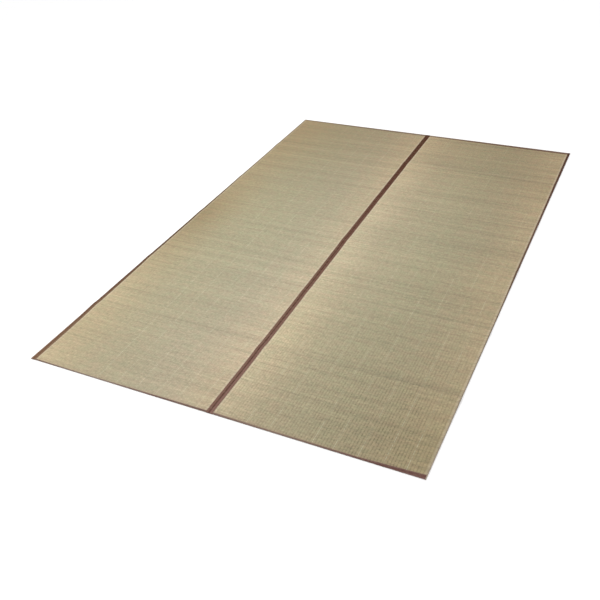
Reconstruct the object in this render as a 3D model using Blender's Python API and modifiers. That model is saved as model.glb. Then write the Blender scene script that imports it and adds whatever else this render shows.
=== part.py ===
"""Rush grass carpet: two woven rush panels side by side, each bound all round in brown cloth tape."""

import math
from collections import namedtuple

import bmesh
import bpy
import numpy as np

# The whole carpet, in metres. X runs across both panels, Y runs along them and Z is up.
WIDTH = 1.76
LENGTH = 2.61
GAP = 0.0003  # left between pieces that touch

# Woven rush. Its ribs run along the carpet, over the rushes that cross each panel.
RIBS = 71  # in each panel
VALLEY_HEIGHT = 0.0022
CREST_HEIGHT = 0.0028
CREST_FROM = 0.30  # where a rib's flat crest starts and ends, as a share of its pitch
CREST_TO = 0.70

# Cloth tape, folded once around the rush's edge.
TAPE_THICKNESS = 0.0010
TAPE_HEIGHT = 0.0036  # both flaps and the rush between them
FOLD_STEPS = 4
SEAM_FLAP = 0.0143  # what shows of each of the two tapes that meet in the middle

# The rush is pressed flat between a tape's two flaps.
PRESSED_BOTTOM = TAPE_THICKNESS + GAP
PRESSED_TOP = TAPE_HEIGHT - TAPE_THICKNESS - GAP
EDGE_IN_FOLD = 0.0020  # from a tape's fold to the edge of the rush inside it
LEDGE = 0.0004  # from a flap's edge to where the rush starts to swell
SWELL = 0.0015  # from a flap's edge to where it has its full thickness

BORDER = 2  # grid lines outside the field on each side: the rush's edge and the ledge
SETTLING_TURNS = 5  # to place a point on lines that bend with both x and y
STRAIGHT_WITHIN = math.radians(0.01)  # faces and edges this near straight are joined
TINY = 1e-6

# Along the carpet: how far its left edge lies inside its width, what shows of the two side tapes, and
# how far the joint lies right of the middle.
Along = namedtuple("Along", "from_front left_edge left_flap joint_drift right_flap")
ALONG = (
    Along(0.00, 0.0042, 0.0233, 0.0151, 0.0030),
    Along(0.20, 0.0040, 0.0219, 0.0142, 0.0030),
    Along(0.42, 0.0022, 0.0190, 0.0132, 0.0030),
    Along(0.61, 0.0004, 0.0178, 0.0112, 0.0030),
    Along(0.87, 0.0000, 0.0120, 0.0086, 0.0036),
    Along(1.10, 0.0000, 0.0105, 0.0055, 0.0052),
    Along(1.30, 0.0000, 0.0090, 0.0027, 0.0083),
    Along(1.74, 0.0000, 0.0062, 0.0000, 0.0090),
    Along(2.18, 0.0000, 0.0056, -0.0027, 0.0110),
    Along(LENGTH, 0.0000, 0.0055, -0.0033, 0.0130),
)

# What shows of the tapes on the two short ends, across the carpet.
Across = namedtuple("Across", "from_left front_flap back_flap")
ACROSS = (
    Across(0.00, 0.0065, 0.0060),
    Across(0.30, 0.0045, 0.0110),
    Across(0.60, 0.0060, 0.0160),
    Across(0.88, 0.0090, 0.0140),
    Across(1.16, 0.0065, 0.0170),
    Across(1.50, 0.0070, 0.0200),
    Across(1.60, 0.0115, 0.0200),
    Across(WIDTH, 0.0190, 0.0200),
)

RUSH_COLOUR = (0.434, 0.391, 0.246, 1.0)
RUSH_ROUGHNESS = 0.7
TAPE_COLOUR = (0.144, 0.076, 0.047, 1.0)
TAPE_ROUGHNESS = 0.9


def along(y, column):
    """One column of the lengthwise table, at a distance y from the front end."""
    return float(np.interp(y, [row.from_front for row in ALONG], [getattr(row, column) for row in ALONG]))


def across(x, column):
    """One column of the crosswise table, at a distance x from the left edge."""
    return float(np.interp(x, [row.from_left for row in ACROSS], [getattr(row, column) for row in ACROSS]))


def joint(y):
    """Where the two panels' tapes meet."""
    return WIDTH / 2 + along(y, "joint_drift")


class Panel:
    """One woven panel, left or right of the joint.

    Its folds are where its long tapes turn under, and its flaps are where its tapes end on the rush.
    """

    def __init__(self, side):
        self.side = side

    def left_fold(self, y):
        return along(y, "left_edge") if self.side == "left" else joint(y) + GAP / 2

    def right_fold(self, y):
        return joint(y) - GAP / 2 if self.side == "left" else WIDTH

    def left_flap(self, y):
        return self.left_fold(y) + (along(y, "left_flap") if self.side == "left" else SEAM_FLAP)

    def right_flap(self, y):
        return self.right_fold(y) - (SEAM_FLAP if self.side == "left" else along(y, "right_flap"))

    def front_flap(self, x):
        return across(x, "front_flap")

    def back_flap(self, x):
        return LENGTH - across(x, "back_flap")


def material(name, colour, roughness):
    made = bpy.data.materials.new(name)
    made.use_nodes = True
    surface = made.node_tree.nodes["Principled BSDF"]
    surface.inputs["Base Color"].default_value = colour
    surface.inputs["Roughness"].default_value = roughness
    made.diffuse_color = colour
    return made


def finish(name, bm, colour, roughness):
    """Turns a bmesh, measured from the carpet's front left corner, into an object centred on the carpet."""
    mesh = bpy.data.meshes.new(name)
    bm.to_mesh(mesh)
    bm.free()
    mesh.materials.append(material(name, colour, roughness))
    made = bpy.data.objects.new(name, mesh)
    made.location = (-WIDTH / 2, -LENGTH / 2, 0.0)
    carpet.objects.link(made)
    return made


def grid_of(columns, rows):
    """A flat grid whose points keep the column and row that they belong to."""
    bm = bmesh.new()
    column_of = bm.verts.layers.int.new("column")
    row_of = bm.verts.layers.int.new("row")
    bmesh.ops.create_grid(bm, x_segments=columns, y_segments=rows, size=0.5)
    for vert in bm.verts:
        vert[column_of] = round((vert.co.x + 0.5) * columns)
        vert[row_of] = round((vert.co.y + 0.5) * rows)
    return bm, column_of, row_of


def rib_steps():
    """Across the field of a panel: each point's share of the width, and its height."""
    steps = []
    for rib in range(RIBS):
        steps.append((rib / RIBS, VALLEY_HEIGHT))
        steps.append(((rib + CREST_FROM) / RIBS, CREST_HEIGHT))
        steps.append(((rib + CREST_TO) / RIBS, CREST_HEIGHT))
    steps.append((1.0, VALLEY_HEIGHT))
    return steps


def border_line(fold, flap, step):
    """A line of the rush's border, counted from its edge: the edge, the ledge, then the full swell."""
    inward = 1.0 if flap > fold else -1.0
    if step == 0:
        return fold + inward * EDGE_IN_FOLD
    return flap + inward * (LEDGE if step < BORDER else SWELL)


def thin_out_flat_faces(bm):
    """Joins the grid's faces on the flat underside and on the border pressed between the flaps."""
    flat = [v for v in bm.verts if v.co.z < PRESSED_BOTTOM + TINY or abs(v.co.z - PRESSED_TOP) < TINY]
    inside = set(flat)
    edges = [e for e in bm.edges if e.verts[0] in inside and e.verts[1] in inside]
    bmesh.ops.dissolve_limit(bm, angle_limit=STRAIGHT_WITHIN, verts=flat, edges=edges)


def woven_rush(panel):
    """A panel's rush: thin between the flaps of its tapes, and full and ribbed in the field inside them."""
    ribs = rib_steps()
    lines = [row.from_front for row in ALONG[1:-1]]
    columns = len(ribs) - 1 + 2 * BORDER
    rows = len(lines) + 1 + 2 * BORDER
    bm, column_of, row_of = grid_of(columns, rows)

    def x_of(column, y):
        left_fold, left_flap = panel.left_fold(y), panel.left_flap(y)
        right_fold, right_flap = panel.right_fold(y), panel.right_flap(y)
        if column < BORDER:
            return border_line(left_fold, left_flap, column)
        if column > columns - BORDER:
            return border_line(right_fold, right_flap, columns - column)
        start = border_line(left_fold, left_flap, BORDER)
        end = border_line(right_fold, right_flap, BORDER)
        return start + (end - start) * ribs[column - BORDER][0]

    def y_of(row, x):
        if row <= BORDER:
            return border_line(0.0, panel.front_flap(x), row)
        if row >= rows - BORDER:
            return border_line(LENGTH, panel.back_flap(x), rows - row)
        return lines[row - BORDER - 1]

    def in_field(vert):
        across_field = BORDER <= vert[column_of] <= columns - BORDER
        return across_field and BORDER <= vert[row_of] <= rows - BORDER

    for vert in bm.verts:
        x = WIDTH / 2
        for _ in range(SETTLING_TURNS):
            y = y_of(vert[row_of], x)
            x = x_of(vert[column_of], y)
        vert.co = (x, y, 0.0 if in_field(vert) else PRESSED_BOTTOM)

    upper = bmesh.ops.extrude_face_region(bm, geom=bm.faces[:])["geom"]
    for vert in upper:
        if isinstance(vert, bmesh.types.BMVert):
            vert.co.z = ribs[vert[column_of] - BORDER][1] if in_field(vert) else PRESSED_TOP
    bmesh.ops.recalc_face_normals(bm, faces=bm.faces)
    thin_out_flat_faces(bm)
    return finish("rush_" + panel.side, bm, RUSH_COLOUR, RUSH_ROUGHNESS)


def folded_section():
    """A tape's outer side as distance in and height, from the upper flap's edge to the lower one's."""
    radius = TAPE_HEIGHT / 2
    section = [(None, TAPE_HEIGHT)]
    for step in range(FOLD_STEPS + 1):
        angle = math.pi * step / FOLD_STEPS
        section.append((radius * (1.0 - math.sin(angle)), radius * (1.0 + math.cos(angle))))
    section.append((None, 0.0))
    return section


def folded_tape(name, point_of, stops):
    """A tape folded around an edge. The edge is walked with the panel on its left, so the cloth faces out.

    point_of gives x and y for a stop along the edge and a distance in from the fold,
    where a distance of None is the flap's own edge.
    """
    section = folded_section()
    bm, step_of, stop_of = grid_of(len(section) - 1, len(stops) - 1)
    for vert in bm.verts:
        distance, height = section[vert[step_of]]
        x, y = point_of(stops[vert[stop_of]], distance)
        vert.co = (x, y, height)
    made = finish(name, bm, TAPE_COLOUR, TAPE_ROUGHNESS)
    cloth = made.modifiers.new("Cloth thickness", "SOLIDIFY")
    cloth.thickness = TAPE_THICKNESS
    cloth.offset = -1.0
    cloth.use_even_offset = True
    return made


def bind(panel):
    """The four tapes of a panel. The long ones run its full length and the end ones lie between them."""

    def on_left(y, distance):
        return (panel.left_flap(y) if distance is None else panel.left_fold(y) + distance), y

    def on_right(y, distance):
        return (panel.right_flap(y) if distance is None else panel.right_fold(y) - distance), y

    def between_long_tapes(x, y):
        return min(max(x, panel.left_flap(y) + GAP), panel.right_flap(y) - GAP)

    def on_front(x, distance):
        y = panel.front_flap(between_long_tapes(x, 0.0)) if distance is None else distance
        return between_long_tapes(x, y), y

    def on_back(x, distance):
        y = panel.back_flap(between_long_tapes(x, LENGTH)) if distance is None else LENGTH - distance
        return between_long_tapes(x, y), y

    def stops_at(y):
        first, last = panel.left_flap(y) + SWELL, panel.right_flap(y) - SWELL
        return [0.0] + [row.from_left for row in ACROSS if first < row.from_left < last] + [WIDTH]

    lengthwise = [row.from_front for row in ALONG]
    left_name, right_name = "side_tape_", "seam_tape_"
    if panel.side == "right":
        left_name, right_name = right_name, left_name
    folded_tape(left_name + panel.side, on_left, lengthwise[::-1])
    folded_tape(right_name + panel.side, on_right, lengthwise)
    folded_tape("end_tape_front_" + panel.side, on_front, stops_at(0.0))
    folded_tape("end_tape_back_" + panel.side, on_back, stops_at(LENGTH)[::-1])


for old in list(bpy.data.objects):
    bpy.data.objects.remove(old, do_unlink=True)
carpet = bpy.data.collections.new("rush grass carpet")
bpy.context.scene.collection.children.link(carpet)
for side in ("left", "right"):
    panel = Panel(side)
    woven_rush(panel)
    bind(panel)
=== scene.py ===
import math
from collections import namedtuple

import bmesh
import bpy
import numpy as np
from mathutils import Matrix, Vector


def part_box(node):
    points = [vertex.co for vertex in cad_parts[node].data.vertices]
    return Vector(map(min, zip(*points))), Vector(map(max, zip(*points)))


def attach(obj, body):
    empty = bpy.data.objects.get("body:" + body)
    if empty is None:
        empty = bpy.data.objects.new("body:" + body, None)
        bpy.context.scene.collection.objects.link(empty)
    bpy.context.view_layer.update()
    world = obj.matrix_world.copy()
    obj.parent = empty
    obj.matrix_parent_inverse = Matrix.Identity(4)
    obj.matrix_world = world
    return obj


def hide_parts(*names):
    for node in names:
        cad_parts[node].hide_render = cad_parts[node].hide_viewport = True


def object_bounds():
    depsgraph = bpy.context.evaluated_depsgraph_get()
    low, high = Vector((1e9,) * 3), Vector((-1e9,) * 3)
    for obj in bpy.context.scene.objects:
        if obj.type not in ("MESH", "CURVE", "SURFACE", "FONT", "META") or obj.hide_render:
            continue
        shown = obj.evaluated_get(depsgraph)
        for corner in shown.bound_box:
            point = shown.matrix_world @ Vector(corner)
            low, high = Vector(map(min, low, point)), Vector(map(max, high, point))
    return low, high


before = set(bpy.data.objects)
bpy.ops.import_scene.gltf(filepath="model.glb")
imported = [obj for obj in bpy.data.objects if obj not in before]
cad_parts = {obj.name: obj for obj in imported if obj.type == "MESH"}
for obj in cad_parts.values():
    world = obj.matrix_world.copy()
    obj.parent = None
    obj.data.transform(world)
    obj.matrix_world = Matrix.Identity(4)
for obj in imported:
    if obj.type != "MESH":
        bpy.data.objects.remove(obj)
cad_box = [list(corner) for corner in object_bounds()]


# The two rush panels
# Each is dried rush, woven so that the stems lie across it. The cotton warps pull them down in long
# lines, and between these the panel stands in ribs. It lies on the floor, pressed thin along its edges
# for the tapes. Where it was folded for sale, the carpet still keeps low ridges from side to side.

X, Y, Z = 0, 1, 2
FRONT = cad_box[0][Y]
LENGTH = cad_box[1][Y] - cad_box[0][Y]
RIBS = 71  # in each panel
RIB_PITCH = 0.0119
RIB_SHAPE = (0.0, 0.72, 1.0, 0.72)  # a valley and three points of the rib after it, as shares of its rise
RIB_RISE = 0.0006
VALLEY_TOP = 0.0022
PRESSED_TOP = 0.0022
PRESSED_BOTTOM = 0.0013
EDGE_IN_FOLD = 0.0020  # from the outside of a tape's fold in to the rush's edge
LEDGE = 0.0004  # from a flap's edge to where the rush starts to swell
SWELL = 0.0016  # from a flap's edge to where it has its full thickness
BORDER = 2  # lines of points outside the ribs on each side: the rush's edge, and the ledge
ROWS = 236
RUSH_ROUNDS = 5  # of working out the places across and along, because each needs the other
RUSH_CREASE = 40.0  # degrees, past which an edge between two faces looks sharp
SAME_POINT = 1e-6

FOLD_RADIUS = 0.0018  # of the tapes round the panels' edges
SAME_STOP = 0.02  # points of a solid closer together than this along it belong to one stop
SAME_HEIGHT = 1e-4
PAST_FOLD = 5e-4  # a flap's flat points lie at least this far past its fold

FoldMark = namedtuple("FoldMark", "from_front rise near_slope far_slope")
FOLD_MARKS = (
    FoldMark(0.405, 0.0030, 0.045, 0.022),
    FoldMark(0.825, 0.0020, 0.045, 0.022),
    FoldMark(1.300, 0.0022, 0.065, 0.018),
    FoldMark(1.730, 0.0018, 0.055, 0.026),
    FoldMark(2.195, 0.0026, 0.040, 0.020),
)
MARK_PROFILE = 1.7  # the power in a ridge's profile: 2 is a bell, and 1 a sharp crest
MARK_CROWDING = 2.2  # how many more rows of points lie at a fold mark, for each one elsewhere
MARK_CROWD = 0.06  # how far from the mark they lie closer
FINE_SHARES = 4000

Swing = namedtuple("Swing", "size shortest seed")
MARK_STRAYS = Swing(0.004, 0.45, 0)  # a fold mark, from a straight line
MARK_VARIES = Swing(0.22, 0.38, 10)  # a fold mark's rise, as a share of it
RIB_STRAYS = Swing(0.0007, 0.11, 0)  # a rib, from a straight line
RIB_VARIES = Swing(0.12, 0.035, 1)  # a rib's rise, as a share of it
RUSH_WAVES = Swing(0.0002, 0.24, 2)  # the whole panel, up and down
STRAY_SHIFT = 0.011  # how much nearer to the front each rib strays than the rib to its left
VARY_SHIFT = 0.37  # and how much nearer to the front its rise varies
WAVES_SLANT = 1.3  # how far the waves come to the front for each metre to the right
FREE_FROM = 10  # the ribs lie straight at the panel's sides, and stray fully a tenth of its width in
PANEL_SEED = {"left": 20, "right": 30}
STRETCHES = (1.0, 1.7, 2.9, 4.3)  # the lengths that a swing is made of, against its shortest
STRETCHES_REACH = 2.6  # about the most that they add up to


def wander(at, swing, number):
    """A slow swing between about -1 and 1 along a line. Each number gives another one."""
    rng = np.random.default_rng(swing.seed + number)
    total = 0.0
    for stretch in STRETCHES:
        total = total + np.sin(2 * math.pi * (at / (swing.shortest * stretch) + rng.random()))
    return total / STRETCHES_REACH


def lift(x, y):
    """How far the carpet stands off the floor at its fold marks."""
    rise = 0.0
    for number, mark in enumerate(FOLD_MARKS):
        off = y - FRONT - mark.from_front - MARK_STRAYS.size * wander(x, MARK_STRAYS, number)
        slope = np.where(off < 0.0, mark.near_slope, mark.far_slope)
        uneven = 1.0 + MARK_VARIES.size * wander(x, MARK_VARIES, number)
        rise = rise + mark.rise * uneven * np.exp(-np.abs(off / slope) ** MARK_PROFILE)
    return rise


def on_line(line, at):
    return np.interp(at, line[0], line[1])


def line_through(spots, along, furthest):
    """A line through the outermost of some points, as places along it and across it."""
    line = []
    for spot in sorted(spots, key=lambda spot: spot[along]):
        if line and spot[along] - line[-1][0] < SAME_STOP:
            line[-1] = (line[-1][0], furthest(line[-1][1], spot[1 - along]))
        else:
            line.append((spot[along], spot[1 - along]))
    return np.array(line).T


Edge = namedtuple("Edge", "tape fold flap")


def edge_of(node, along, outer, inner):
    """An edge of a panel, from its tape's solid: where the tape turns under, and where its flap ends."""
    spots = [tuple(vert.co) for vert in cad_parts[node].data.vertices]
    turn = [spot for spot in spots if abs(spot[Z] - FOLD_RADIUS) < SAME_HEIGHT]
    fold = line_through(turn, along, outer)
    top = [spot for spot in spots if spot[Z] > 2 * FOLD_RADIUS - SAME_HEIGHT]
    past_fold = FOLD_RADIUS + PAST_FOLD
    flat = [spot for spot in top if abs(spot[1 - along] - on_line(fold, spot[along])) > past_fold]
    return Edge(node, fold, line_through(flat, along, inner))


def edges_of(side):
    return {
        "left": edge_of("side_tape_left" if side == "left" else "seam_tape_right", Y, min, max),
        "right": edge_of("seam_tape_left" if side == "left" else "side_tape_right", Y, max, min),
        "front": edge_of("end_tape_front_" + side, X, min, max),
        "back": edge_of("end_tape_back_" + side, X, max, min),
    }


def border(fold, flap, step):
    """A line of the rush's border, counted from its edge: the edge, the ledge, then the full swell."""
    inward = np.sign(flap - fold)
    if step == 0:
        return fold + inward * EDGE_IN_FOLD
    return flap + inward * (LEDGE if step < BORDER else SWELL)


def lay_lines(near, far, at, share, line, last):
    """Places between two edges: on their borders' lines, and at shares of the way between the borders.

    It gives where that way starts and ends too.
    """
    fold, flap = on_line(near.fold, at), on_line(near.flap, at)
    far_fold, far_flap = on_line(far.fold, at), on_line(far.flap, at)
    start, end = border(fold, flap, BORDER), border(far_fold, far_flap, BORDER)
    place = start + (end - start) * share
    for step in range(BORDER):
        place = np.where(line == step, border(fold, flap, step), place)
        place = np.where(line == last - step, border(far_fold, far_flap, step), place)
    return place, start, end


def new_grid(name, columns, rows):
    """A grid piece, with the column and the row of each of its points."""
    bpy.ops.object.select_all(action="DESELECT")
    bpy.ops.mesh.primitive_grid_add(x_subdivisions=columns, y_subdivisions=rows, size=1.0)
    piece = bpy.context.object
    piece.name = piece.data.name = name
    spots = np.empty(len(piece.data.vertices) * 3, np.float32)
    piece.data.vertices.foreach_get("co", spots)
    spots = spots.reshape(-1, 3)
    column = np.rint((spots[:, X] + 0.5) * columns).astype(int)
    row = np.rint((spots[:, Y] + 0.5) * rows).astype(int)
    return piece, column, row


def place_points(piece, x, y, z):
    piece.data.vertices.foreach_set("co", np.stack([x, y, z], 1).astype(np.float32).ravel())
    piece.data.update()


def map_cloth(piece, across, along):
    """Lays the piece's weave out in metres, so that a pattern follows the cloth."""
    layer = piece.data.uv_layers.active or piece.data.uv_layers.new()
    layer.name = "weave"
    corner = np.empty(len(piece.data.loops), np.int32)
    piece.data.loops.foreach_get("vertex_index", corner)
    layer.data.foreach_set("uv", np.stack([across[corner], along[corner]], 1).astype(np.float32).ravel())


def rows_along(count):
    """Shares of the length for each row of points, closer together at the fold marks."""
    spots = np.linspace(0.0, 1.0, FINE_SHARES)
    nearness = [np.exp(-(((spots * LENGTH - mark.from_front) / MARK_CROWD) ** 2)) for mark in FOLD_MARKS]
    run = np.cumsum(1.0 + sum(MARK_CROWDING * near for near in nearness))
    return np.interp(np.linspace(0.0, 1.0, count + 1), (run - run[0]) / (run[-1] - run[0]), spots)


def close_underside(piece, column, row, across, along):
    """Closes the woven surface below: thin between the tapes' flaps, and flat on the floor inside them."""
    columns, rows = column.max(), row.max()
    bm = bmesh.new()
    bm.from_mesh(piece.data)
    column_of, row_of = bm.verts.layers.int.new("column"), bm.verts.layers.int.new("row")
    across_of, along_of = bm.verts.layers.float.new("across"), bm.verts.layers.float.new("along")
    grid = {}
    for vert in bm.verts:
        vert[column_of], vert[row_of] = int(column[vert.index]), int(row[vert.index])
        vert[across_of], vert[along_of] = across[vert.index], along[vert.index]
        grid[vert[column_of], vert[row_of]] = vert
    rim = [edge for edge in bm.edges if edge.is_boundary]
    for step in range(BORDER + 1):
        made = bmesh.ops.extrude_edge_only(bm, edges=rim)["geom"]
        for vert in (part for part in made if isinstance(part, bmesh.types.BMVert)):
            above_column = min(max(vert[column_of], step), columns - step)
            above_row = min(max(vert[row_of], step), rows - step)
            above = grid[above_column, above_row]
            height = 0.0 if step == BORDER else above.co.z - PRESSED_TOP + PRESSED_BOTTOM
            vert.co = (above.co.x, above.co.y, height)
            vert[across_of], vert[along_of] = above[across_of], above[along_of]
        rim = [part for part in made if isinstance(part, bmesh.types.BMEdge) and part.is_boundary]
    bmesh.ops.remove_doubles(bm, verts=bm.verts, dist=SAME_POINT)
    bmesh.ops.edgeloop_fill(bm, edges=[edge for edge in bm.edges if edge.is_boundary])
    bmesh.ops.recalc_face_normals(bm, faces=bm.faces)
    bm.to_mesh(piece.data)
    across = np.array([vert[across_of] for vert in bm.verts])
    along = np.array([vert[along_of] for vert in bm.verts])
    bm.free()
    return across, along


def lay_rush(side):
    edges = edges_of(side)
    steps = len(RIB_SHAPE)
    columns, rows = RIBS * steps + 2 * BORDER, ROWS + 2 * BORDER
    piece, column, row = new_grid("rush_panel_" + side, columns, rows)
    share_across = (column - BORDER) / (RIBS * steps)
    share_along = rows_along(ROWS)[np.clip(row - BORDER, 0, ROWS)]
    x = np.full(len(column), edges["left"].flap[1].mean())
    for _ in range(RUSH_ROUNDS):
        y, _, _ = lay_lines(edges["front"], edges["back"], x, share_along, row, rows)
        x, start, end = lay_lines(edges["left"], edges["right"], y, share_across, column, columns)
    across, along = (x - start) / (end - start) * RIBS * RIB_PITCH, y - FRONT
    ribbed = (column >= BORDER) & (column <= columns - BORDER) & (row >= BORDER) & (row <= rows - BORDER)
    rib = (column - BORDER) // steps
    free = np.clip(share_across * FREE_FROM, 0, 1) * np.clip((1 - share_across) * FREE_FROM, 0, 1)
    seed = PANEL_SEED[side]
    x = x + free * RIB_STRAYS.size * wander(along + rib * STRAY_SHIFT, RIB_STRAYS, seed)
    rise = RIB_RISE * np.array(RIB_SHAPE)[(column - BORDER) % steps]
    varies = RIB_VARIES.size * wander(along + rib * VARY_SHIFT, RIB_VARIES, seed)
    rise = rise * (1.0 - RIB_VARIES.size + varies)
    sway = free * RUSH_WAVES.size * wander(x * WAVES_SLANT + along, RUSH_WAVES, seed)
    z = np.where(ribbed, VALLEY_TOP + rise + sway, PRESSED_TOP) + lift(x, y)
    place_points(piece, x, y, z)
    map_cloth(piece, *close_underside(piece, column, row, across, along))
    bpy.ops.object.shade_smooth_by_angle(angle=math.radians(RUSH_CREASE))
    return piece


def linear(hex_colour):
    """An sRGB hex colour as the linear one that a shader takes."""
    channels = [int(hex_colour[i:i + 2], 16) / 255 for i in (1, 3, 5)]
    return [c / 12.92 if c <= 0.04045 else ((c + 0.055) / 1.055) ** 2.4 for c in channels] + [1.0]


def add(tree, kind, sockets, output=0, **settings):
    """Adds a node with its settings, its sockets' values and its links, and gives one of its outputs."""
    node = tree.nodes.new("ShaderNode" + kind)
    for name, value in settings.items():
        setattr(node, name, value)
    for socket, value in sockets.items():
        if isinstance(value, bpy.types.NodeSocket):
            tree.links.new(value, node.inputs[socket])
        else:
            node.inputs[socket].default_value = value
    return node.outputs[output]


def start_material(name):
    material = bpy.data.materials.new(name)
    material.use_nodes = True
    return material, material.node_tree, material.node_tree.nodes["Principled BSDF"]


def set_stops(ramp_output, stops):
    """Gives a colour ramp its places and colours. A new ramp has two stops already."""
    ramp = ramp_output.node.color_ramp
    ramp.interpolation = "CARDINAL"
    for number, (place, colour) in enumerate(stops):
        stop = ramp.elements[number] if number < 2 else ramp.elements.new(place)
        stop.position, stop.color = place, linear(colour)


# Dried rush, woven and left bare: matt stems with a faint waxy gloss, each with a tone of its own,
# cream at the thin ends of the stems along a panel's edges and grey green in its middle.
# The stems are 1.3 mm apart. They are drawn at twice that, and the streaks that many of them make
# together are drawn as well, because one stem is too fine to show.
FACTOR, FIRST, SECOND = 0, 6, 7  # the Mix node's inputs for colours
COLOUR = 2  # and its output
CENTIMETRES = 100.0  # the Brick node takes no brick under 0.01 wide, so its patterns aren't in metres
FIELD = RIBS * RIB_PITCH
STEM = 0.0026
STEM_LIGHT, STEM_DARK, STEM_GAP = "#ffffff", "#ececec", "#d6d0be"
STEM_ROUGHNESS = (0.55, 0.75)  # the least and the most, by the grain
STEM_BULGE = 0.0005
GRAIN_RISE, VALLEY_DIP = 0.6, 0.3  # as shares of a stem's bulge
TONES = {
    # share of the panel's width from its left edge, and the rush's colour there
    "left": ((0.0, "#b8a787"), (0.25, "#b4a98c"), (0.5, "#b4ab91"), (0.78, "#bbb098"), (1.0, "#cbbba1")),
    "right": ((0.0, "#c9bca0"), (0.18, "#b8ad92"), (0.45, "#aca488"), (0.75, "#a89d81"), (1.0, "#b1a183")),
}
PAINTED_FALLOFF = {
    # share of the length from the front, and what painted shade leaves of the colour there: it is darkest
    # at the back, where the light falls off
    "left": ((0.0, "#fefcfb"), (0.4, "#f9fbf9"), (0.75, "#eceae3"), (1.0, "#dfd6c7")),
    "right": ((0.0, "#f8f5f2"), (0.3, "#ffffff"), (0.7, "#fcf9f7"), (1.0, "#e5dbce")),
}
Patch = namedtuple("Patch", "across from_front half_across half_along strength colour")
PATCHES = {
    "left": (
        Patch(0.02, 1.30, 0.30, 0.75, 0.83, "#988560"),  # painted shade along the outer edge, in the middle of its length
        Patch(0.00, 0.00, 0.30, 0.45, 0.30, "#e4d8b4"),  # a pale near corner
        Patch(0.00, 0.50, 0.25, 0.50, 0.22, "#e4d8b4"),  # pale stems behind it
        Patch(0.84, 0.05, 0.35, 0.50, 0.30, "#a59c78"),  # duller stems beside the joint
        Patch(0.45, 1.30, 0.55, 0.90, 0.25, "#b2ae90"),  # greener stems
    ),
    "right": (
        Patch(0.05, 0.55, 0.30, 0.80, 0.22, "#e6d5ac"),  # straw-coloured stems beside the joint
        Patch(0.84, 0.10, 0.50, 0.60, 0.50, "#948a66"),  # a browner near corner
        Patch(0.84, 2.50, 0.45, 0.70, 0.26, "#cdbc9c"),  # a paler far corner
        Patch(0.84, 1.75, 0.25, 0.75, 0.14, "#cdbc9c"),  # paler stems in front of it
    ),
}
PATTERN_START = {"left": 20.0, "right": 40.0}  # so that the two panels differ
PATTERN_SLANT = 0.7  # how far along a pattern starts, against how far across
Spread = namedtuple("Spread", "laid_by across along seed strength", defaults=(None,))
SPREADS = {
    # Unevenness in patches of a size across and along the panel. It is laid out by the cloth in metres,
    # or by the number of the rib or valley, so that each has its own. The last two have no strength,
    # because they only say where the stems are greener or looser.
    "edge": Spread("cloth", 0.60, 0.40, 1.0, 0.20),
    "band": Spread("cloth", 1.20, 0.080, 2.0, 0.16),
    "bunch": Spread("cloth", 1.20, 0.030, 3.0, 0.13),
    "handful": Spread("cloth", 1.30, 0.015, 4.0, 0.16),
    "stem": Spread("cloth", 1.40, 0.0084, 5.0, 0.22),
    "fleck": Spread("cloth", 0.012, 0.013, 11.0, 0.30),
    "grain": Spread("rib", 0.27, 0.0080, 6.0, 0.30),
    "gap": Spread("valley", 0.21, 0.0090, 7.0, 5.40),
    "firm": Spread("cloth", 0.14, 0.050, 10.0, 0.90),
    "green": Spread("cloth", 0.060, 0.022, 8.0),
    "loose": Spread("cloth", 0.06, 0.160, 9.0),
}
Fade = namedtuple("Fade", "starts full")  # where something starts to show, and where it shows in full
RUDDY_TO_GREEN = Fade(0.33, 0.67)  # by the spread for it
RUDDY, GREENISH = "#fff6f0", "#f7fcf1"  # what such stems make of the rush's colour
AGED_IN_FRONT = 0.65  # how far the stems have grown apart in front, against the back
PALE_ENDS = 0.010  # how far the stems' pale cut ends show in from the long tapes
PALE_ENDS_SHOW = 0.30
PALE_END_COLOUR = "#e6d8c2"
DYE_RUN = {"left": 0.22, "right": 0.42}
DYED = Fade(0.022, 0.005)  # from the front
DYE_COLOUR = "#a08470"
Streaks = namedtuple("Streaks", "near far left_end right_end flecks dark_stems")
STREAKS = {
    # how strong they are in front and at the back, how much stronger towards the stems' two ends, then
    # how strong the flecks in single stems are, and how much darker the odd dark stem is
    "left": Streaks(1.36, 1.04, 0.60, 0.28, 1.38, 0.04),
    "right": Streaks(1.32, 1.50, 0.50, 0.12, 1.50, 0.06),
}
LEFT_ENDS = Fade(0.34, 0.06)  # shares of the panel's width
RIGHT_ENDS = Fade(0.66, 0.94)
DARK_STEMS = Fade(0.42, 0.28)  # by the spread for handfuls
RibShade = namedtuple("RibShade", "at_left at_right edge full gone")
RIB_SHADE = {
    # how dark the valleys are at the front, from the panel's left to its right, what share of that is left
    # at its right edge, and from where to where they fade towards the back
    "left": RibShade(0.00, 0.02, 1.00, 0.10, 0.60),
    "right": RibShade(0.12, 0.37, 0.50, 0.15, 1.08),
}
SHADE_GROWS_TO = 0.75  # shares of the panel's width
SHADE_FADES_FROM = 0.85
SHADE_COLOUR = "#67603f"
VALLEY = Fade(0.30, 0.04)  # in ribs from the valley's line
PaleWarps = namedtuple("PaleWarps", "first every bare front near far clear_from")
PALE_WARPS = {
    # the first one and their distance in ribs, how loose the stems have to be to leave them bare, how clear
    # they are right at the front, in the near part and at the back, and from how far across the panel
    "left": PaleWarps(3, 8.0, 0.30, 0.48, 0.51, 0.28, 0.34),
    "right": PaleWarps(4.4, 7.6, 0.36, 0.64, 0.42, 0.20, 0.10),
}
WARP = Fade(0.11, 0.04)  # in ribs from the valley's line
WARPS_AT_BACK = Fade(0.8, 2.0)  # from the front
WARPS_AT_FRONT = Fade(0.45, 0.10)
WARP_DASHES = Fade(0.38, 0.48)  # by the spread for gaps
BARE_WITHIN = 0.18  # how much looser the stems are where a warp is quite bare
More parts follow.
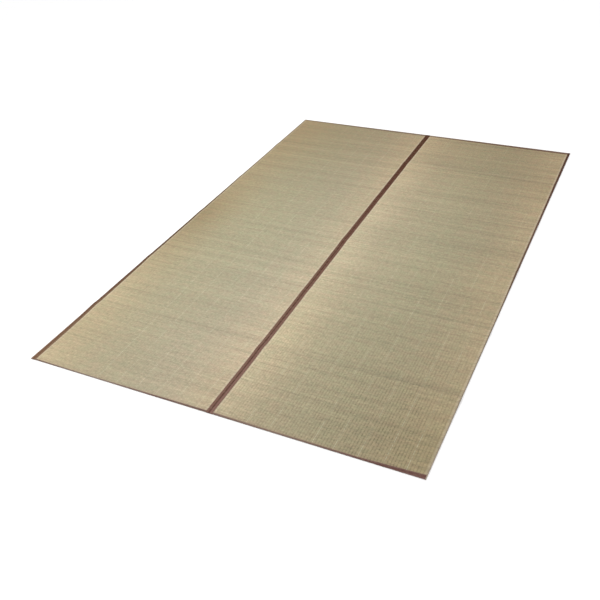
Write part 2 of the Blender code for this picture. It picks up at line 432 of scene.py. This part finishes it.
CLEAR_WITHIN = 0.15  # the share of the panel's width over which the warps come in
WARP_COLOUR = "#d8d2b4"
Weave = namedtuple("Weave", "laid across along valley_number off_valley valley spread")


def lay_out_weave(tree, side):
    """Where a place is on the panel and among its ribs, and each spread of unevenness there."""
    laid = add(tree, "UVMap", {}, uv_map="weave")
    split = add(tree, "SeparateXYZ", {0: laid}).node
    across, along = split.outputs["X"], split.outputs["Y"]
    ribs = add(tree, "Math", {0: across, 1: RIB_PITCH}, operation="DIVIDE")
    rib_number = add(tree, "Math", {0: ribs}, operation="FLOOR")
    valley_number = add(tree, "Math", {0: ribs}, operation="ROUND")
    off_valley = add(tree, "Math", {0: ribs, 1: valley_number}, operation="SUBTRACT")
    off_valley = add(tree, "Math", {0: off_valley}, operation="ABSOLUTE")
    valley = add(tree, "MapRange", {
        "Value": off_valley, "From Min": VALLEY.starts, "From Max": VALLEY.full,
    }, interpolation_type="SMOOTHSTEP")
    laid_by = {
        "cloth": laid,
        "rib": add(tree, "CombineXYZ", {"X": rib_number, "Y": along}),
        "valley": add(tree, "CombineXYZ", {"X": valley_number, "Y": along}),
    }
    spread = {}
    for name, size in SPREADS.items():
        start = size.seed + PATTERN_START[side]
        patches = add(tree, "Mapping", {
            "Vector": laid_by[size.laid_by],
            "Location": (start, PATTERN_SLANT * start, 0.0),
            "Scale": (1 / size.across, 1 / size.along, 1.0),
        })
        spread[name] = add(tree, "TexNoise", {
            "Vector": patches, "Scale": 1.0, "Detail": 3.0, "Roughness": 0.6,
        }, noise_dimensions="2D")
    return Weave(laid, across, along, valley_number, off_valley, valley, spread)


def rush_tones(tree, weave, side):
    """The rush's colour at large: its tones over the width, painted shade towards the back, and patches."""
    wavy = SPREADS["edge"].strength
    share = add(tree, "MapRange", {
        "Value": weave.across, "From Min": wavy / 2 * FIELD, "From Max": (1.0 + wavy / 2) * FIELD,
    }, clamp=False)
    share = add(tree, "Math", {0: weave.spread["edge"], 1: wavy, 2: share}, operation="MULTIPLY_ADD")
    tones = add(tree, "ValToRGB", {0: share})
    set_stops(tones, TONES[side])
    # painted shade: the colour grows darker towards the back
    painted_falloff = add(tree, "ValToRGB", {0: add(tree, "MapRange", {"Value": weave.along, "From Max": LENGTH})})
    set_stops(painted_falloff, PAINTED_FALLOFF[side])
    colour = add(tree, "Mix", {FACTOR: 1.0, FIRST: tones, SECOND: painted_falloff}, COLOUR,
                 data_type="RGBA", blend_type="MULTIPLY")
    for patch in PATCHES[side]:
        centred = add(tree, "Mapping", {
            "Vector": weave.laid,
            "Location": (patch.across, patch.from_front, 0.0),
            "Scale": (patch.half_across, patch.half_along, 1.0),
        }, vector_type="TEXTURE")
        glow = add(tree, "TexGradient", {0: centred}, 1, gradient_type="QUADRATIC_SPHERE")
        glow = add(tree, "Math", {0: glow, 1: patch.strength}, operation="MULTIPLY")
        colour = add(tree, "Mix", {FACTOR: glow, FIRST: colour, SECOND: linear(patch.colour)}, COLOUR,
                     data_type="RGBA")
    return colour


def tint_stems(tree, weave, colour, aged):
    """Greener and ruddier stems lie side by side, and they differ more where the rush has aged."""
    green = add(tree, "MapRange", {
        "Value": weave.spread["green"], "From Min": RUDDY_TO_GREEN.starts, "From Max": RUDDY_TO_GREEN.full,
    })
    tint = add(tree, "Mix", {FACTOR: green, FIRST: linear(RUDDY), SECOND: linear(GREENISH)}, COLOUR,
               data_type="RGBA")
    return add(tree, "Mix", {FACTOR: aged, FIRST: colour, SECOND: tint}, COLOUR,
               data_type="RGBA", blend_type="MULTIPLY")


def colour_edges(tree, weave, side, colour):
    """Beside the long tapes the stems' pale cut ends show, and beside the front one its dye has run."""
    off_middle = add(tree, "Math", {0: weave.across, 1: FIELD / 2}, operation="SUBTRACT")
    off_middle = add(tree, "Math", {0: off_middle}, operation="ABSOLUTE")
    cut_ends = add(tree, "MapRange", {
        "Value": off_middle,
        "From Min": FIELD / 2 - PALE_ENDS,
        "From Max": FIELD / 2,
        "To Max": PALE_ENDS_SHOW,
    })
    colour = add(tree, "Mix", {FACTOR: cut_ends, FIRST: colour, SECOND: linear(PALE_END_COLOUR)}, COLOUR,
                 data_type="RGBA")
    dyed = add(tree, "MapRange", {
        "Value": weave.along, "From Min": DYED.starts, "From Max": DYED.full, "To Max": DYE_RUN[side],
    })
    return add(tree, "Mix", {FACTOR: dyed, FIRST: colour, SECOND: linear(DYE_COLOUR)}, COLOUR,
               data_type="RGBA")


def streak_level(tree, weave, side, aged):
    """How light a place is: streaks across the panel, from bands to single stems, and their flecks.

    The stems differ more towards their ends, bands and bunches differ more where the rush has aged, and
    here and there some stems are dark.
    """
    streaks = STREAKS[side]
    streaky = add(tree, "MapRange", {
        "Value": weave.along, "From Max": LENGTH, "To Min": streaks.near, "To Max": streaks.far,
    })
    for ends, more in ((LEFT_ENDS, streaks.left_end), (RIGHT_ENDS, streaks.right_end)):
        at_end = add(tree, "MapRange", {
            "Value": weave.across,
            "From Min": ends.starts * FIELD,
            "From Max": ends.full * FIELD,
            "To Min": 1.0,
            "To Max": 1.0 + more,
        })
        streaky = add(tree, "Math", {0: streaky, 1: at_end}, operation="MULTIPLY")
    banded = add(tree, "Math", {0: streaky, 1: aged}, operation="MULTIPLY")
    growths = {
        "band": banded,
        "bunch": banded,
        "handful": streaky,
        "stem": streaky,
        "fleck": streaks.flecks,
        "grain": streaks.flecks,
    }
    level = 1.0
    for name, growth in growths.items():
        strength = SPREADS[name].strength
        uneven = add(tree, "Math", {0: weave.spread[name], 1: strength, 2: -strength / 2},
                     operation="MULTIPLY_ADD")
        level = add(tree, "Math", {0: uneven, 1: growth, 2: level}, operation="MULTIPLY_ADD")
    dark_stems = add(tree, "MapRange", {
        "Value": weave.spread["handful"],
        "From Min": DARK_STEMS.starts,
        "From Max": DARK_STEMS.full,
        "To Max": -streaks.dark_stems,
    })
    return add(tree, "Math", {0: level, 1: dark_stems}, operation="ADD")


def draw_stems(tree, weave):
    """The single stems, each as long as a rib is wide. In every other rib they lie half a stem on."""
    return add(tree, "TexBrick", {
        "Vector": add(tree, "CombineXYZ", {
            "X": add(tree, "Math", {0: weave.along, 1: CENTIMETRES}, operation="MULTIPLY"),
            "Y": add(tree, "Math", {0: weave.across, 1: CENTIMETRES}, operation="MULTIPLY"),
        }),
        "Color1": linear(STEM_LIGHT),
        "Color2": linear(STEM_DARK),
        "Mortar": linear(STEM_GAP),
        "Scale": 1.0,
        "Mortar Size": 0.025,
        "Mortar Smooth": 0.5,
        "Brick Width": CENTIMETRES * STEM,
        "Row Height": CENTIMETRES * RIB_PITCH,
    }, offset=0.5)


def shade_valleys(tree, weave, side, colour):
    """Shade between the ribs, deeper where two stems part and where the ribs stand firm."""
    dark = RIB_SHADE[side]
    shade = add(tree, "MapRange", {
        "Value": weave.across,
        "From Max": SHADE_GROWS_TO * FIELD,
        "To Min": dark.at_left,
        "To Max": dark.at_right,
    })
    near = add(tree, "MapRange", {
        "Value": weave.along, "From Min": dark.gone, "From Max": dark.full,
    }, interpolation_type="SMOOTHSTEP")
    shade = add(tree, "Math", {0: shade, 1: near}, operation="MULTIPLY")
    shade = add(tree, "Math", {0: weave.valley, 1: shade}, operation="MULTIPLY")
    fading = add(tree, "MapRange", {
        "Value": weave.across,
        "From Min": SHADE_FADES_FROM * FIELD,
        "From Max": FIELD,
        "To Min": 1.0,
        "To Max": dark.edge,
    })
    shade = add(tree, "Math", {0: shade, 1: fading}, operation="MULTIPLY")
    for name in ("gap", "firm"):
        strength = SPREADS[name].strength
        uneven = add(tree, "Math", {0: weave.spread[name], 1: strength, 2: 1.0 - strength / 2},
                     operation="MULTIPLY_ADD")
        shade = add(tree, "Math", {0: shade, 1: uneven}, operation="MULTIPLY")
    return add(tree, "Mix", {
        FACTOR: add(tree, "Math", {0: shade, 1: 0.0}, operation="MAXIMUM"),
        FIRST: colour,
        SECOND: linear(SHADE_COLOUR),
    }, COLOUR, data_type="RGBA")


def show_warps(tree, weave, side, colour):
    """Every eighth valley or so has a pale warp, which shows only where the stems over it are loose."""
    warps = PALE_WARPS[side]
    turn = add(tree, "Math", {0: weave.valley_number, 1: warps.first - 0.5}, operation="SUBTRACT")
    turn = add(tree, "Math", {0: turn, 1: warps.every}, operation="DIVIDE")
    turn = add(tree, "Math", {0: turn}, operation="FRACT")
    pale = add(tree, "Math", {0: turn, 1: 1.0 / warps.every}, operation="LESS_THAN")
    warp = add(tree, "MapRange", {
        "Value": weave.off_valley, "From Min": WARP.starts, "From Max": WARP.full,
    })
    shown = add(tree, "MapRange", {
        "Value": weave.along,
        "From Min": WARPS_AT_BACK.starts,
        "From Max": WARPS_AT_BACK.full,
        "To Min": warps.near,
        "To Max": warps.far,
    })
    front = add(tree, "MapRange", {
        "Value": weave.along,
        "From Min": WARPS_AT_FRONT.starts,
        "From Max": WARPS_AT_FRONT.full,
        "To Max": warps.front - warps.near,
    })
    shown = add(tree, "Math", {0: shown, 1: front}, operation="ADD")
    for value, least, most in (
        (weave.spread["loose"], warps.bare, warps.bare + BARE_WITHIN),
        (weave.spread["gap"], WARP_DASHES.starts, WARP_DASHES.full),
        (weave.across, (warps.clear_from - CLEAR_WITHIN) * FIELD, warps.clear_from * FIELD),
    ):
        clear = add(tree, "MapRange", {"Value": value, "From Min": least, "From Max": most})
        shown = add(tree, "Math", {0: shown, 1: clear}, operation="MULTIPLY")
    pale = add(tree, "Math", {0: pale, 1: warp}, operation="MULTIPLY")
    pale = add(tree, "Math", {0: pale, 1: shown}, operation="MULTIPLY")
    return add(tree, "Mix", {FACTOR: pale, FIRST: colour, SECOND: linear(WARP_COLOUR)}, COLOUR,
               data_type="RGBA")


def rush_material(side):
    material, tree, surface = start_material("dried rush, woven, " + side + " panel")
    weave = lay_out_weave(tree, side)
    colour = rush_tones(tree, weave, side)
    aged = add(tree, "MapRange", {"Value": weave.along, "From Max": LENGTH, "To Min": AGED_IN_FRONT})
    colour = tint_stems(tree, weave, colour, aged)
    colour = colour_edges(tree, weave, side, colour)
    level = streak_level(tree, weave, side, aged)
    stems = draw_stems(tree, weave)
    colour = add(tree, "Mix", {FACTOR: 1.0, FIRST: colour, SECOND: stems}, COLOUR,
                 data_type="RGBA", blend_type="MULTIPLY")
    colour = shade_valleys(tree, weave, side, colour)
    colour = show_warps(tree, weave, side, colour)
    colour = add(tree, "VectorMath", {0: colour, "Scale": level}, operation="SCALE")
    tree.links.new(colour, surface.inputs["Base Color"])
    surface.inputs["IOR"].default_value = 1.45
    least_rough, most_rough = STEM_ROUGHNESS
    rough = add(tree, "MapRange", {
        "Value": weave.spread["grain"], "To Min": least_rough, "To Max": most_rough,
    })
    tree.links.new(rough, surface.inputs["Roughness"])
    rounded = add(tree, "Math", {0: 1.0, 1: stems.node.outputs["Fac"]}, operation="SUBTRACT")
    height = add(tree, "Math", {0: weave.spread["grain"], 1: GRAIN_RISE, 2: rounded},
                 operation="MULTIPLY_ADD")
    height = add(tree, "Math", {0: weave.valley, 1: -VALLEY_DIP, 2: height}, operation="MULTIPLY_ADD")
    relief = add(tree, "Bump", {"Strength": 0.6, "Distance": STEM_BULGE, "Height": height})
    tree.links.new(relief, surface.inputs["Normal"])
    return material


for side in ("left", "right"):
    panel = lay_rush(side)
    panel.data.materials.clear()
    panel.data.materials.append(rush_material(side))
    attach(panel, "root")
    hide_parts("rush_" + side)


# The eight cloth tapes and their sewing
# Each is a plain woven cotton tape, dyed brown, folded once round an edge of its panel and sewn down
# through both flaps and the rush. The long tapes run the panel's full length and the short ones lie
# between them. The two in the middle meet fold to fold, and the groove between them looks dark, also
# from painted shade round each tape's fold.

CLEARANCE = 0.0003  # between two tapes that meet
CLOTH = 0.0008  # the thickness of each flap
FOLD_STEPS = 8
TAPE_STEP = 0.008  # between the rows of points along a tape
TAPE_ROUNDS = 4  # of working out the places across and along, because each needs the other
TAPE_CREASE = 50.0  # degrees, past which an edge between two faces looks sharp
FLUFF = Swing(0.00012, 0.03, 40)  # how unevenly the upper flap lies
FlapPoint = namedtuple("FlapPoint", "from_edge share height")
UPPER_FLAP = (
    # how far in from the flap's edge, at most what share of its flat part, and how high it stands
    FlapPoint(0.0000, 0.00, 0.0031),
    FlapPoint(0.0006, 0.12, 0.0033),
    FlapPoint(0.0014, 0.26, 0.0033),
    FlapPoint(0.0022, 0.40, 0.0031),
    FlapPoint(0.0030, 0.54, 0.0034),
    FlapPoint(0.0050, 0.76, 0.0036),
    FlapPoint(1.0000, 0.90, 0.0036),  # always at its share, because no flap is so wide
)
SEWN_AT = UPPER_FLAP[3]
STITCH_PITCH = 0.0055
STITCH_LENGTH = 0.0040
STITCH_LIFT = 0.0001  # of a stitch's middle over the cloth
THREAD_RADIUS = 0.00035
UNSEWN = 0.008  # at a tape's two ends together


def section_of(width):
    """A tape's outer side, from its upper edge round the fold to its lower edge, where its flap is so wide.

    It is given as distances in from the fold, heights, and distances along the cloth.
    """
    flat = width - FOLD_RADIUS
    spots = []
    for point in UPPER_FLAP:
        spots.append((width - np.minimum(point.from_edge, point.share * flat), point.height))
    for angle in np.linspace(0.0, math.pi, FOLD_STEPS + 1):
        spots.append((FOLD_RADIUS * (1.0 - math.sin(angle)), FOLD_RADIUS * (1.0 + math.cos(angle))))
    spots += [(FOLD_RADIUS + 0.5 * flat, 0.0), (width, 0.0)]
    distance, height = (np.array([spot[part] + 0.0 * width for spot in spots]) for part in (0, 1))
    steps = np.hypot(np.diff(distance, axis=0), np.diff(height, axis=0))
    return distance, height, np.concatenate([np.zeros((1,) + np.shape(width)), np.cumsum(steps, axis=0)])


def station_on_tape(edges, where, share, distance_of):
    """Places along a tape, at shares of its length and at distances in from its fold.

    distance_of gives such a distance from the width of the flap there. That width is given back too.
    """
    edge = edges[where]
    inward = 1.0 if where in ("left", "front") else -1.0
    if where in ("left", "right"):
        y = FRONT + LENGTH * share
        fold = on_line(edge.fold, y)
        width = abs(on_line(edge.flap, y) - fold)
        return fold + inward * distance_of(width), y, width
    y = np.full(len(share), edge.fold[1].mean())
    for _ in range(TAPE_ROUNDS):
        start, end = on_line(edges["left"].flap, y) + CLEARANCE, on_line(edges["right"].flap, y) - CLEARANCE
        x = start + (end - start) * share
        fold = on_line(edge.fold, x)
        width = abs(on_line(edge.flap, x) - fold)
        y = fold + inward * distance_of(width)
    return x, y, width


def fold_tape(edges, where):
    """Gives the tape, its length, its flap's mean width, and its widest and mean width when unfolded."""
    node = edges[where].tape
    low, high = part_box(node)
    length = LENGTH if where in ("left", "right") else high[X] - low[X]
    steps, stations = len(UPPER_FLAP) + FOLD_STEPS + 2, round(length / TAPE_STEP)
    piece, column, row = new_grid("cloth_" + node, steps, stations)
    share = row / stations
    if where in ("left", "back"):
        share = 1.0 - share  # the points run the other way here, so that the cloth faces out
    number = np.arange(len(column))
    x, y, width = station_on_tape(edges, where, share, lambda width: section_of(width)[0][column, number])
    distance, height, path = section_of(width)
    along = y - FRONT if where in ("left", "right") else x - cad_box[0][X]
    fluff = np.where(column < len(UPPER_FLAP), FLUFF.size * wander(along, FLUFF, len(node)), 0.0)
    place_points(piece, x, y, height[column, number] + fluff + lift(x, y))
    map_cloth(piece, path[column, number], along)
    bpy.ops.object.modifier_add(type="SOLIDIFY")
    cloth = piece.modifiers[-1]
    cloth.thickness, cloth.offset = CLOTH, -1.0
    bpy.ops.object.modifier_apply(modifier=cloth.name)
    bpy.ops.object.shade_smooth_by_angle(angle=math.radians(TAPE_CREASE))
    return piece, length, width.mean(), path[-1].max(), path[-1].mean()


def sew(edges, where, length):
    """A row of lockstitches along a flap, each sunk a little into the cloth."""
    bpy.ops.object.select_all(action="DESELECT")
    bpy.ops.mesh.primitive_uv_sphere_add(segments=6, ring_count=4, radius=THREAD_RADIUS)
    piece = bpy.context.object
    piece.name = piece.data.name = "sewing_" + edges[where].tape
    bpy.ops.transform.resize(value=(1.0, 1.0, STITCH_LENGTH / 2 / THREAD_RADIUS))
    bpy.ops.object.transform_apply(location=True, rotation=True, scale=True)
    count = int((length - UNSEWN) / STITCH_PITCH)
    bpy.ops.object.modifier_add(type="ARRAY")
    row = piece.modifiers[-1]
    row.count, row.use_relative_offset, row.use_constant_offset = count, False, True
    row.constant_offset_displace = (0.0, 0.0, STITCH_PITCH)
    bpy.ops.object.modifier_apply(modifier=row.name)
    spots = np.empty(len(piece.data.vertices) * 3, np.float32)
    piece.data.vertices.foreach_get("co", spots)
    aside, up, along = spots.reshape(-1, 3).T.astype(float)
    share = (along + (length - (count - 1) * STITCH_PITCH) / 2) / length
    x, y, width = station_on_tape(edges, where, share, lambda width: (
        width - np.minimum(SEWN_AT.from_edge, SEWN_AT.share * (width - FOLD_RADIUS)) + aside))
    place_points(piece, x, y, SEWN_AT.height + STITCH_LIFT + up + lift(x, y))
    bpy.ops.object.mode_set(mode="EDIT")
    bpy.ops.mesh.select_all(action="SELECT")
    bpy.ops.mesh.normals_make_consistent(inside=False)
    bpy.ops.object.mode_set(mode="OBJECT")
    bpy.ops.object.shade_smooth()
    return piece


# Cotton tape, plain woven and dyed brown: quite matt, and a little dusty where it is stroked. Round its
# fold it has a dark red painted shade, for the turning cloth and the groove where the middle tapes meet.
# Its yarns are 0.5 mm apart and are drawn at 1.2 mm, or they would not show.
YARN = 0.0012
YARN_LIGHT, YARN_DARK, YARN_GAP = "#ffffff", "#dedede", "#b8b8b8"
YARN_BULGE = 0.0003
TapeDyeAndShade = namedtuple("TapeDyeAndShade", "start second third end")  # from the front, or from the left
DYE_AND_SHADE_STOPS = (0.0, 0.35, 0.65, 1.0)  # shares of the tape's length
# each tape's brown dye at four places along it; where a tape grows darker towards the back, that is painted
# shade
TAPE_DYES_AND_SHADE = {
    "side_tape_left": TapeDyeAndShade("#8e6e54", "#654a32", "#725a34", "#7c6634"),
    "seam_tape_left": TapeDyeAndShade("#846255", "#7a5949", "#653f30", "#4f290b"),
    "seam_tape_right": TapeDyeAndShade("#8e6b60", "#7d594b", "#694334", "#542c0e"),
    "side_tape_right": TapeDyeAndShade("#c0b29e", "#83705a", "#715848", "#4a2d19"),
    "end_tape_front_left": TapeDyeAndShade("#a28e7c", "#b3a494", "#9f897d", "#948074"),
    "end_tape_front_right": TapeDyeAndShade("#947f72", "#978272", "#82685e", "#7c5a55"),
    "end_tape_back_left": TapeDyeAndShade("#958670", "#8c7861", "#8f7b63", "#8e7861"),
    "end_tape_back_right": TapeDyeAndShade("#8e7861", "#806651", "#775c4a", "#7d6251"),
}
# Painted shade, dark red, laid round each tape's fold: how far in from the fold, along the cloth, it starts
# and is full
FOLD_SHADE = Fade(0.0055, 0.0015)  # from the fold, along the cloth
FOLD_SHADE_SHOWS = 0.55
FOLD_SHADE_COLOUR = "#50281f"
DUST = Fade(0.40, 0.75)  # by its own noise
DUST_SHOWS = 0.30
DUST_COLOUR = "#a08773"
DUST_ACROSS, DUST_ALONG = 0.006, 0.016


def tape_material(node, start, length, fold_at):
    material, tree, surface = start_material("brown cotton tape, plain woven, " + node)
    laid = add(tree, "UVMap", {}, uv_map="weave")
    split = add(tree, "SeparateXYZ", {0: laid}).node
    across, along = split.outputs["X"], split.outputs["Y"]
    share = add(tree, "MapRange", {"Value": along, "From Min": start, "From Max": start + length})
    # the dye's brown along the tape, with painted shade where it darkens towards the back
    dye = add(tree, "ValToRGB", {0: share})
    set_stops(dye, zip(DYE_AND_SHADE_STOPS, TAPE_DYES_AND_SHADE[node]))
    off_fold = add(tree, "Math", {0: across, 1: fold_at}, operation="SUBTRACT")
    off_fold = add(tree, "Math", {0: off_fold}, operation="ABSOLUTE")
    # painted shade round the fold
    dark = add(tree, "MapRange", {
        "Value": off_fold,
        "From Min": FOLD_SHADE.starts,
        "From Max": FOLD_SHADE.full,
        "To Max": FOLD_SHADE_SHOWS,
    })
    dye = add(tree, "Mix", {FACTOR: dark, FIRST: dye, SECOND: linear(FOLD_SHADE_COLOUR)}, COLOUR,
              data_type="RGBA")
    patches = add(tree, "Mapping", {"Vector": laid, "Scale": (1 / DUST_ACROSS, 1 / DUST_ALONG, 1.0)})
    dust = add(tree, "TexNoise", {"Vector": patches, "Scale": 1.0, "Detail": 3.0}, noise_dimensions="2D")
    dust = add(tree, "MapRange", {
        "Value": dust, "From Min": DUST.starts, "From Max": DUST.full, "To Max": DUST_SHOWS,
    })
    colour = add(tree, "Mix", {FACTOR: dust, FIRST: dye, SECOND: linear(DUST_COLOUR)}, COLOUR,
                 data_type="RGBA")
    yarns = add(tree, "TexBrick", {
        "Vector": add(tree, "Mapping", {"Vector": laid, "Scale": (CENTIMETRES, CENTIMETRES, 1.0)}),
        "Color1": linear(YARN_LIGHT),
        "Color2": linear(YARN_DARK),
        "Mortar": linear(YARN_GAP),
        "Scale": 1.0,
        "Mortar Size": 0.02,
        "Mortar Smooth": 1.0,
        "Brick Width": 2 * CENTIMETRES * YARN,
        "Row Height": CENTIMETRES * YARN,
    }, offset=0.5)
    colour = add(tree, "Mix", {FACTOR: 1.0, FIRST: colour, SECOND: yarns}, COLOUR,
                 data_type="RGBA", blend_type="MULTIPLY")
    tree.links.new(colour, surface.inputs["Base Color"])
    surface.inputs["IOR"].default_value = 1.45
    surface.inputs["Roughness"].default_value = 0.9
    surface.inputs["Specular IOR Level"].default_value = 0.15
    raised = add(tree, "Math", {0: 1.0, 1: yarns.node.outputs["Fac"]}, operation="SUBTRACT")
    relief = add(tree, "Bump", {"Strength": 0.5, "Distance": YARN_BULGE, "Height": raised})
    tree.links.new(relief, surface.inputs["Normal"])
    return material


# Polyester sewing thread, twisted from three strands: browner than the tape and a little shinier.
STRAND = 0.0004
STRAND_DARK, STRAND_LIGHT = "#5a4034", "#7d6051"


def thread_material():
    material, tree, surface = start_material("brown polyester thread, twisted")
    place = add(tree, "TexCoord", {}, "Object")
    strands = add(tree, "TexNoise", {"Vector": place, "Scale": 1 / STRAND, "Detail": 1.0})
    colour = add(tree, "Mix", {FACTOR: strands, FIRST: linear(STRAND_DARK), SECOND: linear(STRAND_LIGHT)},
                 COLOUR, data_type="RGBA")
    tree.links.new(colour, surface.inputs["Base Color"])
    surface.inputs["IOR"].default_value = 1.5
    surface.inputs["Roughness"].default_value = 0.5
    return material


thread = thread_material()
for side in ("left", "right"):
    edges = edges_of(side)
    for where in ("left", "right", "front", "back"):
        node = edges[where].tape
        tape, length, flap, widest, mean = fold_tape(edges, where)
        start = 0.0 if where in ("left", "right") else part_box(node)[0][X] - cad_box[0][X]
        tape.data.materials.clear()
        tape.data.materials.append(tape_material(node, start, length, flap))
        sewing = sew(edges, where, length)
        sewing.data.materials.append(thread)
        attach(tape, "root")
        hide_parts(node)
        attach(sewing, "root")


# Floor, light and camera
# A plain white floor under even studio light, with one large soft light from the left. The camera
# stands in front of the carpet, off to its right and above it, and looks down along it to the left.

FLOOR_SIZE = 40.0
FLOOR_DROP = 0.0002  # the carpet's underside lies this far over it, so that the two never share a face
ROOM_LIGHT = 1.02
LIGHT_AT = (-2.6, -0.6, 2.6)
LIGHT_TILT = -45.0  # degrees, down to the carpet
LIGHT_SIZE = (2.4, 3.4)
LIGHT_POWER = 40.0
CAMERA_AT = (1.3835, -2.8307, 1.9599)
AIMED_AT = (0.1997, -0.4810, 0.0)
CAMERA_ROLL = -4.147  # degrees: the photograph is a little tilted
LENS = 43.645
SENSOR = 36.0
LENS_SHIFT = (-0.0704, 0.00083)

bpy.ops.object.select_all(action="DESELECT")
bpy.ops.mesh.primitive_plane_add(size=FLOOR_SIZE, location=(0.0, 0.0, -FLOOR_DROP))
bpy.ops.object.transform_apply(location=True, rotation=True, scale=True)
floor = bpy.context.object
floor.name = "floor"
floor_finish, _, surface = start_material("plain pale floor")
surface.inputs["Base Color"].default_value = linear("#fdfdfd")
surface.inputs["Roughness"].default_value = 0.9
floor.data.materials.append(floor_finish)

world = bpy.context.scene.world or bpy.data.worlds.new("even light")
bpy.context.scene.world = world
world.use_nodes = True
background = world.node_tree.nodes["Background"]
background.inputs["Color"].default_value = linear("#ffffff")
background.inputs["Strength"].default_value = ROOM_LIGHT

bpy.ops.object.light_add(type="AREA", location=LIGHT_AT, rotation=(0.0, math.radians(LIGHT_TILT), 0.0))
light = bpy.context.object.data
light.shape = "RECTANGLE"
light.size, light.size_y = LIGHT_SIZE
light.energy = LIGHT_POWER

bpy.context.scene.view_settings.view_transform = "Standard"
bpy.context.scene.view_settings.look = "None"

camera_data = bpy.data.cameras.new("camera")
camera_data.lens = LENS
camera_data.sensor_width = SENSOR
camera_data.shift_x, camera_data.shift_y = LENS_SHIFT
camera = bpy.data.objects.new("camera", camera_data)
bpy.context.scene.collection.objects.link(camera)
look = (Vector(AIMED_AT) - Vector(CAMERA_AT)).to_track_quat("-Z", "Y").to_matrix().to_4x4()
roll = Matrix.Rotation(math.radians(CAMERA_ROLL), 4, "Z")
camera.matrix_world = Matrix.Translation(CAMERA_AT) @ look @ roll
bpy.context.scene.camera = camera
